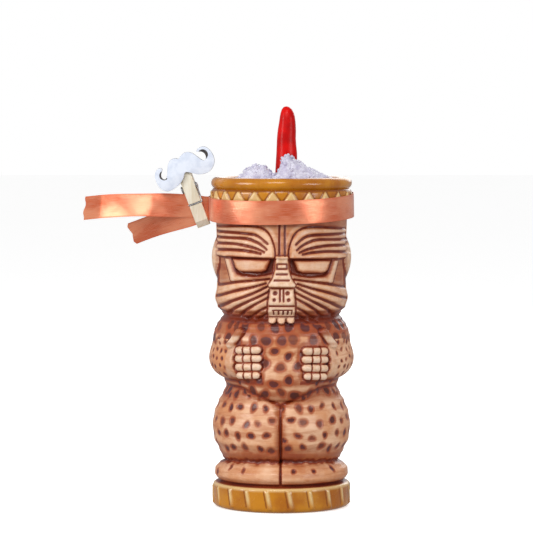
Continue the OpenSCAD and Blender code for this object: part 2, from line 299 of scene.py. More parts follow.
def gate(v, low, high, soft):
    # 1 between low and high, falling to 0 over soft outside them
    return rise(v, low - soft, low) * (1 - rise(v, high, high + soft))


def hump(d, w):
    return np.where(np.abs(d) < w, (1 - (d / w) ** 2) ** 2, 0.0)


def offBeat(t):
    # how far t is from the nearest repeat
    return t - np.round(t)


def deepen(layer, value):
    # keeps the stronger of the two, in the layer itself
    np.maximum(layer, value, out=layer)


def lineDistance(x, z, route):
    best = np.full(x.shape, 1e9)
    for (ax, az), (bx, bz) in zip(route[:-1], route[1:]):
        dx, dz = bx - ax, bz - az
        k = np.clip(((x - ax) * dx + (z - az) * dz) / (dx * dx + dz * dz), 0, 1)
        best = np.minimum(best, np.hypot(x - ax - k * dx, z - az - k * dz))
    return best


def smoothRoute(points, steps=5):
    # an open line eased through its points
    q = [np.array(v, float) for v in points]
    q = [2 * q[0] - q[1]] + q + [2 * q[-1] - q[-2]]
    out = []
    for k in range(1, len(q) - 2):
        out += [tuple(curvePoint(*q[k - 1:k + 3], t)) for t in np.arange(steps) / steps]
    return out + [tuple(q[-2])]


def insideOf(x, z, outline):
    # signed distance to an outline, positive inside
    inside = np.zeros(x.shape, bool)
    closed = outline + outline[:1]
    for (ax, az), (bx, bz) in zip(closed[:-1], closed[1:]):
        if az != bz:
            cross = (az > z) != (bz > z)
            inside ^= cross & (x < (bx - ax) * (z - az) / (bz - az) + ax)
    away = lineDistance(x, z, closed)
    return np.where(inside, away, -away)


mugPlan = dict(
    frontColumns=200, backColumns=116, frontHalf=76.0, height=178.0, lipRadius=38.0, lipRound=3.2, lipMiddle=174.8,
    headBore=30.5, neckStep=107.0, drop=0.018, carve=1.0,
    faceRadius=35.2, sideRadius=36.0, handRadius=37.6, knuckleRadius=37.3, spotRadius=36.5,
    profile=[(0.0, 34.4), (0.5, 35.9), (1.4, 36.7), (2.4, 37.0), (11.6, 37.0), (12.5, 36.8), (13.3, 35.9), (13.8, 33.6),
             (14.4, 33.0), (15.4, 34.9), (17.5, 36.1), (20.5, 35.9), (23.6, 33.6), (25.4, 31.5), (27.2, 32.0),
             (31, 33.8), (37, 36.5), (44.5, 37.3), (51, 36.3), (57, 34.0), (61, 31.8), (65.5, 29.9), (69, 31), (74, 35),
             (80, 37.0), (87, 37.5), (92, 37.2), (95.4, 36.3), (98.6, 34.9), (101.5, 32.9), (103.6, 31.2),
             (105.4, 32.2), (108, 34.6), (113, 35.9), (119, 34.9), (124, 34.7), (140, 34.9), (154, 35.3), (157.6, 35.6),
             (159.4, 36.7), (170.5, 37.1), (171.6, 36.4)],
    inside=[(8.0, 21.0), (9.5, 24.0), (16, 25.6), (28, 25.8), (45, 30.4), (58, 28.4), (66, 24), (81, 31.4), (94, 29),
            (100, 27), (104, 26.8)],
    browLines=[[(-36, 151), (-22.4, 152.4), (-14.3, 152.4), (-9.6, 151), (-6.2, 147.6), (-3.8, 141.6), (-3.4, 136.6)],
               [(-36, 148.5), (-26.8, 148.5), (-16, 148), (-11.7, 146.6), (-7.4, 143.2)],
               [(-36, 145.4), (-19.6, 145.7), (-13.8, 144.2), (-10.2, 142.2), (-7.8, 140.2)],
               [(-36, 142.2), (-26, 142.6), (-19.6, 142), (-13.8, 140.8), (-9, 138.8)],
               [(-36, 138.6), (-24, 139.4), (-16, 138.9), (-10.8, 137.9)]],
    cheekLines=[[(-6.6, 124.6), (-25.4, 122), (-36, 119.2)], [(-8.6, 122.2), (-16, 119.9), (-25.8, 117.2), (-36, 113)],
                [(-8, 120.4), (-16, 116.4), (-26.8, 111.7), (-35.5, 107.4)],
                [(-6.8, 118), (-16, 113.1), (-24, 109.1), (-31, 104.8)],
                [(-7.2, 114.7), (-16, 109.8), (-24, 104.6)], [(-8.4, 109.4), (-13.8, 106.6), (-20.5, 102.4)],
                [(-8.8, 105.9), (-15, 102.2)]],
    socket=[(-28, 135.6), (-25.6, 128), (-24.2, 126.3), (-22, 125.7), (-15, 125.4), (-8.8, 126.3), (-5, 127.4),
            (-3.8, 135.6)],
    lid=[(-26.6, 134.8), (-25, 129.6), (-23.2, 128.2), (-21, 127.9), (-11, 128.2), (-8.6, 129.2), (-6.3, 134.8)],
    fingers=[(86.9, 12.7, 22.4, 2.25), (82.4, 12.3, 22.7, 2.2), (77.9, 12.5, 22.6, 2.2), (73.4, 13.2, 22.0, 2.1)],
    chin=[(-6.2, 119.8), (6.2, 119.8), (7.4, 103.4), (-7.8, 103.4)],
    scallops=[(-5.3, 103.3), (-0.25, 103.1), (4.9, 103.3)],
    nose=[(-3.2, 137), (3.3, 137), (3.6, 130), (5, 125), (7.3, 121.6), (6.6, 120.3), (-6.4, 120.3), (-7.2, 121.6),
          (-4.9, 125), (-3.5, 130)],
)


def stations(table, z):
    heights = np.array([q[0] for q in table]); radii = np.array([q[1] for q in table])
    i = np.clip(np.searchsorted(heights, z, side="right") - 1, 0, len(table) - 2)
    return radii[i] + (radii[i + 1] - radii[i]) * ease((z - heights[i]) / (heights[i + 1] - heights[i]))


def tubeOver(s, z, route, radius, base):
    d = lineDistance(s, z, route)
    return np.where(d < radius, base + np.sqrt(np.maximum(radius ** 2 - d ** 2, 0)), 0.0), d


def softMax(a, b, k):
    h = np.clip(0.5 + 0.5 * (a - b) / k, 0, 1)
    return b + (a - b) * h + k * h * (1 - h)


def carveMug(a, z):
    # radius of the wall in mm at angle a (degrees from the front, + towards +X) and height z, with its paint layers
    p = mugPlan
    b = np.abs(a)
    front = b < 90
    # 99 mm is out of every carving's reach
    x = np.where(front, p["faceRadius"] * np.sin(np.radians(a)), 99 * np.sign(a))
    side = p["sideRadius"] * np.radians(b)
    zf = z + p["drop"] * np.where(front, x, p["sideRadius"] * np.sign(a))      # carving sits a touch lower towards +X
    m = -np.abs(x)
    fx = np.abs(x)
    r = stations(p["profile"], z)
    stainAndShade, pale, wash = np.zeros(a.shape), np.zeros(a.shape), np.zeros(a.shape)

    # arms wrap from the shoulders round to the belly
    armRoute = [(p["sideRadius"] * math.radians(turn), height)
                for turn, height in ((24, 80.0), (62, 79.4), (100, 81.0))]
    arm, armAway = tubeOver(side, z, armRoute, 10.0, 29.2)
    arm = np.where((z > 66) & (z < 106), arm, 0)
    q = 23.4 ** 2 - (z - 73.5) ** 2 - (15.8 * np.sin(np.radians(b))) ** 2
    belly = np.where(front & (q > 0) & (z > 50) & (z < 97), 15.8 * np.cos(np.radians(b)) + np.sqrt(np.maximum(q, 0)), 0)
    torso = np.where((z > 60) & (z < 104), softMax(r, belly, 1.2), r)
    r = np.where(arm > 0, softMax(torso, arm, 2.4), torso)
    deepen(stainAndShade, 0.8 * hump(z - 69.6, 1.5) * (b > 15))
    deepen(wash, 0.9 * hump(z - 69.4, 4.2))
    deepen(wash, 0.55 * hump(armAway - 10.2, 2.2) * (z > 84) * (z < 100))

    # thumb and four fingers of three joints
    hx = np.where(front, p["handRadius"] * np.sin(np.radians(b)), 99)
    zr = z - np.clip(18 - hx, -9, 9) * 0.05 + (a > 0) * 0.6
    fingers = np.full(a.shape, 9.0)
    for middle, tipX, rootX, half in p["fingers"]:
        fingers = np.minimum(fingers, lineDistance(hx, zr, [(tipX, middle), (rootX, middle)]) - half)
    joints = np.minimum.reduce([np.abs(hx - 15.7 - 0.05 * (zr - 80)), np.abs(hx - 20.0 - 0.03 * (zr - 80)),
                                np.abs(hx - 24.6) + (hx > 24.6) * 9])
    inHand = 1 - rise(fingers, 0.2, 1.1)
    r = r * (1 - inHand) + p["knuckleRadius"] * inHand
    stainAndShade *= 1 - inHand
    wash *= 1 - inHand
    r += np.where(fingers < 0, 2.0 * np.sqrt(np.maximum(1 - (1 + fingers / 2.2) ** 2, 0)), 0)
    cut = (fingers < 0.2) * hump(joints, 0.62)
    r -= 0.7 * cut
    deepen(stainAndShade, np.maximum(0.84 * hump(fingers - 0.2, 0.75), 0.74 * cut))
    deepen(pale, (1 - rise(fingers, -0.7, -0.2)) * (1 - cut))
    thumb = lineDistance(hx, z, [(22.6, 96.4), (25.6, 91.4), (27.4, 89.2)])
    r = np.where(thumb < 2.0, np.maximum(r, 37.0 + 1.9 * np.sqrt(np.maximum(1 - (thumb / 2.0) ** 2, 0)) + 0.4), r)
    stainAndShade = np.maximum(stainAndShade * (thumb > 1.9), 0.85 * hump(thumb - 2.35, 0.75) * (z > 89.3))
    deepen(pale, 0.95 * (1 - rise(thumb, 1.4, 2.0)))
    wrist = rise(insideOf(hx, z, [(25.0, 89.0), (28.6, 89.6), (29.4, 72.2), (25.2, 71.2)]), -0.6, 1.0)
    r += 0.3 * wrist
    deepen(pale, 0.5 * wrist * (fingers > 0.2))
    deepen(wash, front * 0.9 * hump(fingers - 1.4, 2.6) * (hx < 25))

    # legs and feet, parted at the front, with a line between thigh and belly
    shift = x + 0.7
    part = np.abs(shift)
    r -= 2.6 * hump(part, 1.7 + np.clip(z - 50, 0, 8) * 0.5) * gate(z, 27, 55.5, 2.5)
    deepen(stainAndShade, 0.98 * hump(part, 1.15) * gate(z, 15.5, 56.5, 1.2))
    deepen(wash, 0.9 * hump(part, 5.4) * gate(z, 28, 57, 3))
    r -= 1.5 * hump(part, 1.1) * gate(z, 15.5, 27, 1)
    bellyLine = lineDistance(np.abs(shift), z, [(0, 57.4), (5, 59.4), (10, 62.0), (20.7, 65.4), (34, 66.4)])
    r -= 0.8 * hump(bellyLine, 1.6) * front
    deepen(stainAndShade, 0.95 * hump(bellyLine, 1.25) * front)
    deepen(wash, 0.9 * hump(bellyLine, 4.6) * front)
    ankle = 27.2 - 2.3 * (1 - np.cos(np.radians(b))) + 0.25 * np.sin(a * 0.31) + 0.2 * np.sin(a * 0.83)
    r -= 1.3 * hump(z - ankle, 1.9)
    deepen(stainAndShade, hump(z - ankle, 1.9 + 0.3 * np.sin(a * 0.47)))
    deepen(wash, hump(z - ankle - 2, 8))
    deepen(stainAndShade, hump(z - 14.2, 1.7))
    deepen(wash, 0.8 * hump(z - 14.6, 3.4) * (z > 13.4))

    # head: brow, eyes, temples, nose, chin and cheeks in front view
    head = (z > 100) & (z < 158) & front
    browEdge = 1 - rise(b, 72, 79)
    r += np.where(head, 1.7 * (1 - rise(zf, 138, 151)) * rise(zf, 135.4, 136.0) * browEdge, 0)
    deepen(stainAndShade, head * 0.97 * hump(zf - 135.0, 1.15) * browEdge * (np.abs(x) > 3))
    for k, route in enumerate(p["browLines"]):
        d = lineDistance(m, zf, smoothRoute(route))
        width = 0.4 + 0.5 * np.clip((-m - 4.5) / 12, 0, 1)
        r -= np.where(head, p["carve"] * hump(d, width + 0.35), 0)
        deepen(stainAndShade, head * hump(d, width + 0.25) * (1.0 if k else 0.92))
        deepen(wash, head * 0.6 * hump(d, 1.9))
        deepen(pale, head * 0.6 * hump(d - 2.1, 1.1) * (m > -34))
    upright = np.minimum(np.abs(x + 1.3), np.abs(x - 1.6))
    r -= np.where(head & (zf > 136.6), 0.9 * hump(upright, 0.95), 0)
    deepen(stainAndShade, head * gate(zf, 137.2, 159, 0.8) * 0.98 * hump(upright, 1.0))
    deepen(wash, head * gate(zf, 138, 158, 1.5) * 0.5 * (1 - rise(fx, 2.4, 7.5 + np.clip(zf - 146, 0, 9))))
    deepen(wash, head * gate(zf, 152.6, 158, 1.0) * 0.75)
    socket = insideOf(m, zf, p["socket"])
    lid = insideOf(m, zf, p["lid"])
    r -= np.where(head, 2.3 * rise(socket, 0, 0.9) * (1 - rise(lid, -0.5, 0.1)), 0)
    r += np.where(head, 0.5 * rise(lid, -0.2, 1.2), 0)
    deepen(stainAndShade, head * rise(socket, -0.35, 0.35) * (1 - rise(lid, -0.3, 0.35)))
    deepen(wash, head * 0.85 * hump(socket, 1.7))
    deepen(wash, head * 0.8 * hump(lid, 2.1))
    deepen(pale, head * 0.5 * rise(lid, 0.8, 2.4))
    temple = lineDistance(m, zf, [(-29.6, 135.2), (-26, 122.8)])
    panel = insideOf(m, zf, [(-34.6, 135.2), (-31.3, 135.2), (-27.9, 121.8), (-34.8, 120)])
    r += np.where(head, 0.5 * hump(temple, 1.7), 0)
    r -= np.where(head, 0.7 * rise(panel, 0, 0.6), 0)
    deepen(stainAndShade, head * 0.8 * hump(panel, 0.75))
    deepen(wash, head * 0.62 * rise(panel, -0.4, 1))
    deepen(pale, head * hump(temple, 1.5) * 0.9)
    for route in p["cheekLines"]:
        d = lineDistance(m, zf, smoothRoute(route, 3))
        w = 0.5 + 0.42 * np.clip((-m - 6) / 24, 0, 1)
        r -= np.where(head, p["carve"] * 1.2 * hump(d, w + 0.45), 0)
        deepen(stainAndShade, head * hump(d, w + 0.3))
        deepen(wash, head * 0.55 * hump(d, 1.9))
        deepen(pale, head * 0.6 * hump(d - 2.0, 1.0) * (m > -34))
    noseAway = insideOf(x, z, p["nose"])
    r += np.where(head, (1.8 + 0.13 * np.clip(136 - z, 0, 16)) * rise(noseAway, -0.35, 0.7), 0)
    clear = np.where(head, 1 - rise(noseAway, -0.1, 0.5), 1)
    stainAndShade, wash = stainAndShade * clear, wash * clear
    deepen(stainAndShade, head * 0.85 * hump(noseAway + 0.35, 0.6))
    pale = np.where(head, np.maximum(pale, rise(noseAway, 0.3, 0.8)), pale)
    noseCut = np.minimum.reduce([
        np.abs(insideOf(x, z, [(-2.4, 132.8), (2.5, 132.8), (2.6, 130.2), (-2.5, 130.2)])),
        lineDistance(x, z, [(-2.6, 127.4), (2.7, 127.4)]), lineDistance(x, z, [(-3.6, 124.2), (3.7, 124.2)])])
    r -= np.where(head, 0.7 * hump(noseCut, 0.8), 0)
    deepen(stainAndShade, head * 0.92 * hump(noseCut, 0.72) * (noseAway > 0))
    deepen(wash, head * 0.5 * hump(noseCut, 1.8) * (noseAway > 0))
    chinAway = insideOf(x, z, p["chin"])
    for cx, cz in p["scallops"]:
        chinAway = np.maximum(chinAway, 2.5 - np.hypot(x - cx, z - cz))
    r += np.where(head, 2.7 * rise(chinAway, -0.3, 0.6), 0)
    clear = np.where(head, 1 - rise(chinAway, 0, 0.4), 1)
    stainAndShade, wash = stainAndShade * clear, wash * clear
    deepen(stainAndShade, head * hump(chinAway + 0.5, 0.85) * (z < 119.6))
    deepen(wash, head * 0.6 * hump(chinAway - 0.4, 1.4) * (z < 119.6))
    pale = np.where(head, np.maximum(pale, rise(chinAway, 0.1, 0.5)), pale)
    mouthCut = np.minimum.reduce([
        lineDistance(x, z, [(-0.9, 119.2), (-0.9, 113)]), lineDistance(x, z, [(0.9, 119.2), (0.9, 113)]),
        lineDistance(x, z, [(-6.2, 110.5), (6.4, 110.5)]), lineDistance(x, z, [(-7, 104.7), (7, 104.7)]) + 0.1])
    for cx, cz, cr in ((-3.3, 117.4, 1.15), (-3.7, 113.8, 0.95), (2.9, 117.4, 1.15), (3.3, 113.8, 0.95)):
        mouthCut = np.minimum(mouthCut, np.maximum(np.hypot(x - cx, z - cz) - cr + 0.5, 0))
    teethRow = insideOf(x, z, [(-4.9, 108.6), (5.4, 108.6), (5.6, 105.6), (-5.1, 105.6)])
    tooth = np.abs(offBeat((x + 0.6) / 2.4)) * 2.4
    toothPad = rise(0.92 - tooth, 0, 0.3) * rise(np.minimum(z - 105.9, 108.3 - z), 0, 0.3)
    gum = rise(teethRow, 0, 0.3) * (1 - toothPad)
    r -= np.where(head, 0.75 * np.maximum(hump(mouthCut, 0.75), gum), 0)
    deepen(stainAndShade, head * np.maximum(0.95 * hump(mouthCut, 0.7), 0.95 * gum) * (chinAway > 0))
    deepen(wash, head * 0.6 * hump(mouthCut, 1.7) * (chinAway > 0))
    neck = gate(z, 101.6, 104.2, 1.8) * (1 - rise(chinAway, -0.4, 0))
    deepen(stainAndShade, np.where(front, 0.9, 0.8) * neck)
    deepen(wash, gate(z, 96, 106, 4) * (1 - rise(chinAway, -0.4, 0)) * 0.95)
    jaw = lineDistance(m, z, [(-35, 107.6), (-29, 104.2), (-22, 102.6), (-9.6, 101.6)])
    deepen(stainAndShade, head * hump(jaw, 1.3) * (chinAway < 0))

    # ears, and the grooves that run on round the back of the head
    ear = np.hypot((b - 93) * 0.6 * 0.9, (z - 134.4) * 0.94)
    beside = (z > 118) & (z < 150)
    r += np.where(beside, 2.9 * np.sqrt(hump(ear, 10.6)), 0)
    onEar = beside * (1 - rise(ear, 9.0, 9.8))
    stainAndShade, wash = stainAndShade * (1 - onEar), wash * (1 - onEar)
    deepen(pale, 0.85 * onEar)
    deepen(wash, beside * 0.6 * hump(ear - 8.6, 2.2))
    deepen(stainAndShade, beside * 0.85 * hump(ear - 10.2, 1.1))
    back = (b >= 104) & (z > 106) & (z < 156)
    lock = (z - 106) / 3.3 + 0.35 * np.sin(np.radians(b * 3))
    lockAway = offBeat(lock) * 3.3
    r -= np.where(back, 0.85 * hump(lockAway, 1.1) * rise(b, 104, 110), 0)
    deepen(stainAndShade, back * 0.95 * hump(lockAway, 1.1) * rise(b, 104, 108))
    deepen(wash, back * 0.7 * rise(b, 104, 108))

    # rim triangles and slanted foot ribs
    rim, foot = z > 158, z < 13.4
    stainAndShade, wash = np.where(rim | foot, 0, stainAndShade), np.where(rim | foot, 0, wash)
    pitch = a / 15 - 0.5
    off = np.abs(offBeat(pitch)) * 15 * math.radians(p["handRadius"])
    wide = np.clip((171.3 - zf) * 0.68, 0, 4.55)
    triangle = rise(wide - off, -0.15, 0.9) * gate(z, 159.2, 170.6, 0.7)
    r += 1.0 * triangle + 0.7 * rim * rise(z, 164.5, 167.5)
    r = np.where(rim & (z < 171.4), np.minimum(r, 38.6), r)
    creamAndHighlight = rim * np.maximum(hump(wide - off - 0.55, 0.85), 0.72 * triangle) * gate(z, 159, 170.8, 0.6)
    # the dark outline round each triangle is glaze pooled at its edge; the dark line under the lip is painted shade,
    # where the lip's overhang falls
    deepen(stainAndShade, rim * (0.75 * hump(wide - off + 0.75, 1.1) * (z < 170.8) + 0.95 * hump(z - 171.6, 1.5)))
    rib = (a - 7 + 0.3 * (z - 7)) / 18
    ribAway = offBeat(rib) * 18 * math.radians(37)
    ribs = rise(1.45 - np.abs(ribAway), 0, 1.1) * gate(z, 2.4, 11.2, 1.4)
    r += 0.65 * ribs
    # cream glaze on the ribs, made lighter towards the top as a painted highlight; a painted highlight along the band's
    # top edge; a painted shade line down the left side of each rib
    deepen(creamAndHighlight, foot * ribs * 0.9 * rise(z, 1.5, 8))
    deepen(creamAndHighlight, 0.8 * gate(z, 12.2, 13.2, 0.5) * (z < 14))
    deepen(stainAndShade, foot * 0.9 * hump(ribAway + 1.9, 0.75) * gate(z, 3, 11.5, 1))
    amber = np.clip(rim * rise(z, 158.2, 159.2) + foot * (1 - rise(z, 13.2, 13.6)), 0, 1)

    # dark spots pressed into the body
    spots, halo = scatterSpots(a, z)
    bare = np.clip(pale * 1.4 + (z > 102) + (z < 16), 0, 1)
    deepen(bare, (hump(part, 1.4) > 0.2) * (z < 57))
    spots, halo = spots * (1 - bare), halo * (1 - bare)
    r -= 0.32 * spots
    deepen(wash, np.where((z > 15) & (z < 102), 0.26, 0.05) * (1 - amber))
    deepen(wash, 0.7 * hump(z - 62, 8) * (1 - pale) * (z < 66))
    deepen(wash, 0.75 * hump(z - 28, 11) * (z > 26) + 0.5 * hump(np.abs(a) * 0.64, 7) * gate(z, 26, 58, 4))
    deepen(wash, 0.6 * hump(z - 15, 4) * (z > 14.2) * (z < 26))
    return r, stainAndShade, spots, halo, pale, amber, creamAndHighlight, wash


def scatterSpots(a, z):
    rng = np.random.default_rng(23)
    arc = mugPlan["spotRadius"] * np.radians(a)
    turn = mugPlan["spotRadius"] * 2 * math.pi
    spots, halo = np.zeros(a.shape), np.zeros(a.shape)
    b = np.abs(a)
    armZone = (b > 41) & (b < 132) & (z > 69.5) & (z < 92 - np.clip((b - 60) / 8, 0, 6))
    plans = [("body", 60.5, 101.5, 8.0, 2.75, ~armZone), ("arm", 70.6, 94, 4.9, 1.2, armZone),
             ("thigh", 30.0, 62.5, 8.3, 2.15, z < 63),
             ("foot", 17.5, 23.5, 13.0, 1.6, z < 25)]
    for name, low, high, gap, size, zone in plans:
        step = gap * 0.88
        for row in range(int((high - low) / step) + 1):
            count = int(turn / gap)
            for k in range(count):
                cz = low + (row + 0.5) * step + rng.normal(0, gap * 0.09)
                cs = (k + 0.5 * (row % 2)) * turn / count - turn / 2 + rng.normal(0, gap * 0.1)
                long = size * rng.uniform(0.85, 1.15) * (1.25 if name == "body" and cz > 90 else 1)
                thin = long * rng.uniform(0.66, 0.94)
                lean = rng.uniform(0, math.pi)
                dark = rng.uniform(0.66, 1)
                wobble = rng.uniform(0, 6.28, 2)
                near = zone & (np.abs(z - cz) < 6) & ((np.abs(arc - cs) < 6) | (np.abs(arc - cs) > turn - 6))
                if cz > high + 0.5 or not near.any():
                    continue
                ds = (arc[near] - cs + turn / 2) % turn - turn / 2
                dz = z[near] - cz
                u = (ds * math.cos(lean) + dz * math.sin(lean)) / long
                v = (-ds * math.sin(lean) + dz * math.cos(lean)) / thin
                way = np.arctan2(v, u)
                q = np.hypot(u, v) * (1 + 0.07 * np.sin(2 * way + wobble[0]) + 0.05 * np.sin(3 * way + wobble[1]))
                spots[near] = np.maximum(spots[near], dark * (1 - rise(q, 0.7, 1.06)))
                halo[near] = np.maximum(halo[near], (1 - rise(q, 0.9, 1.75)) * min(1, dark + 0.1))
    return spots, halo


def ringHeights():
    parts = [np.linspace(0.5, 2.4, 5, endpoint=False), np.linspace(2.4, 12, 10, endpoint=False),
             np.linspace(12, 17, 10, endpoint=False), np.linspace(17, 29, 16, endpoint=False),
             np.linspace(29, 66, 40, endpoint=False), np.linspace(66, 101, 56, endpoint=False),
             np.linspace(101, 137.5, 70, endpoint=False), np.linspace(137.5, 157, 34, endpoint=False),
             np.linspace(157, 171.8, 21)]
    return np.concatenate(parts)


def buildMug():
    p = mugPlan
    columns = np.concatenate([np.linspace(-p["frontHalf"], p["frontHalf"], p["frontColumns"], endpoint=False),
                              np.linspace(p["frontHalf"], 360 - p["frontHalf"], p["backColumns"], endpoint=False)])
    columns = np.where(columns > 180, columns - 360, columns)
    rings = ringHeights()
    # the lip's round, then down the bore, over the step at the neck and down inside to the floor
    rounding, bore = p["lipRound"], p["headBore"]
    lip = [(p["lipRadius"] - rounding + rounding * math.cos(t), p["lipMiddle"] + rounding * math.sin(t))
           for t in np.radians(np.linspace(-62, 88, 10))]
    down = [(34.0, p["height"]), (32.6, 177.7), (31.5, 177.0), (30.8, 175.8), (bore, 174.2)]
    down += [(bore, z) for z in np.linspace(171, p["neckStep"], 12)]
    down += [(28.6, p["neckStep"]), (27.2, 106.9), (26.9, 106.4)]
    down += [(float(stations(p["inside"], np.array([z]))[0]), z)
             for z in (104, 101, 97, 92, 86, 80, 74, 69, 64, 58, 50, 42, 34, 27, 20, 14, 10.5, 8.8)]
    down += [(22.5, 8.1), (20.5, 8.0)]
    rows = len(rings) + len(lip) + len(down) + 1
    count = len(columns)
    # a sheet of clay, one row a ring, that is wrapped round and pressed into the mould's relief
    mug, co = newSheet("mugGlazed", count, rows - 1)
    i, j = gridNumber(co[:, 0], count), gridNumber(co[:, 1], rows - 1)
    a = columns[i % count]
    z, r = np.zeros(len(co)), np.zeros(len(co))
    names = ("stainAndShade", "spot", "halo", "pale", "amber", "creamAndHighlight", "wash")
    layers = {name: np.zeros(len(co)) for name in names}
    onWall = (j >= 1) & (j <= len(rings))
    z[onWall] = rings[j[onWall] - 1]
    r[onWall], *painted = carveMug(a[onWall], z[onWall])
    for name, values in zip(names, painted):
        layers[name][onWall] = values
    z[j == 0], r[j == 0] = p["profile"][0]
    for k, (radius, height) in enumerate(lip + down):
        here = j == len(rings) + 1 + k
        r[here], z[here] = radius, height
        layers["amber" if height > 160 else "pale"][here] = 1.0
    layers["amber"][j == 0] = 1.0
    angle = np.radians(a)
    setCoordinates(mug.data, np.stack([r * np.sin(angle), -r * np.cos(angle), z], 1) * mm)
    for name, values in layers.items():
        paintLayer(mug.data, name, values)
    closeShell(1e-6, openEnd=True)
    smoothShade(mug, 60)
    return mug


def stonewareGlaze():
    f = Finish("glazedStoneware", Coat_IOR=1.45, Coat_Roughness=0.16, Specular_IOR_Level=0.32)
    stainAndShade, spot, halo = f.layer("stainAndShade"), f.layer("spot"), f.layer("halo")
    pale, amber, creamAndHighlight, wash = f.layer("pale"), f.layer("amber"), f.layer("creamAndHighlight"), f.layer("wash")
    soft = f.noise(48, 5, 0.6)
    fine = f.noise(420, 4, 0.6)
    brush = f.noise(130, 5, 0.65, f.stretched((0.4, 0.4, 2.6)), 0.5)
    skin = f.blend(f.fit(soft, 0.36, 0.64), tint(234, 188, 152), tint(212, 144, 96))
    skin = f.blend(f.fit(brush, 0.42, 0.7) * 0.6, skin, tint(178, 98, 54))
    skin = f.blend(pale * 0.8, skin, f.blend(f.fit(fine, 0.35, 0.7), tint(240, 214, 190), tint(224, 184, 148)))
    skin = f.blend(f.fit(wash * (0.5 + brush), 0.12, 0.95) * 0.92, skin,
                   f.blend(f.fit(soft, 0.4, 0.62), tint(168, 88, 44), tint(146, 64, 34)))
    skin = f.blend(f.fit(halo * (0.6 + brush * 0.8), 0.1, 0.95) * 0.9, skin, tint(162, 74, 38))
    # the stain layer's dark lines include painted shade under the lip and down one side of each foot rib
    edge = f.fit(stainAndShade + (brush - 0.5) * 0.4, 0.08, 0.42)
    skin = f.blend(edge * 0.88, skin, tint(138, 48, 16))
    dark = f.blend(f.fit(soft, 0.4, 0.62), tint(116, 42, 18), tint(92, 32, 24))
    skin = f.blend(f.fit(stainAndShade + (soft - 0.5) * 0.4 + (brush - 0.5) * 0.5, 0.42, 0.9) * 0.9, skin, dark)
    pooled = f.blend(f.fit(fine + soft, 0.85, 1.15), tint(74, 22, 12), tint(80, 38, 46))
    skin = f.blend(f.fit(spot + (fine - 0.5) * 0.3 + (soft - 0.5) * 0.5, 0.22, 1.02) * 0.96, skin, pooled)
    honey = f.blend(f.fit(soft, 0.34, 0.68), tint(196, 126, 16), tint(166, 92, 5))
    honey = f.blend(f.fit(f.noise(160, 3, 0.5, f.stretched((1, 1, 0.3))), 0.5, 0.75) * 0.5, honey, tint(204, 138, 38))
    # the cream layer includes painted highlights on the foot ribs and along the band's top edge
    honey = f.blend(creamAndHighlight * 0.85, honey, tint(230, 200, 142))
    honey = f.blend(f.fit(stainAndShade + (fine - 0.5) * 0.2, 0.1, 0.8) * 0.85, honey, tint(126, 62, 8))
    colour = f.blend(amber, skin, honey)
    rough = 0.4 - amber * 0.14 + (fine - 0.5) * 0.14
    relief = f.bump(fine, 0.12, 0.0004, f.bump(soft, 0.2, 0.0009))
    coat = 0.14 + amber * 0.26
    return f.feed(Base_Color=colour, Roughness=rough, Normal=relief, Coat_Weight=coat)


mugPiece = buildMug()
dress(mugPiece, stonewareGlaze(), "mug", ["mug"])
print("mug pressed:", len(mugPiece.data.vertices), "points")


ribbonPlan = dict(width=12.7, thick=0.24, height=162.1, pitch=3.0, roll=-1.5, loopRadius=38.95, leave=7.7,
                  join=-39.2, jaw=-6.1, jawTurn=-4.0, layer=0.16, longTail=62.6,
                  shortTail=39.6, tailFlat=6.4, across=14)


def turned(axis, degrees):
    return Matrix.Rotation(math.radians(degrees), 4, axis)


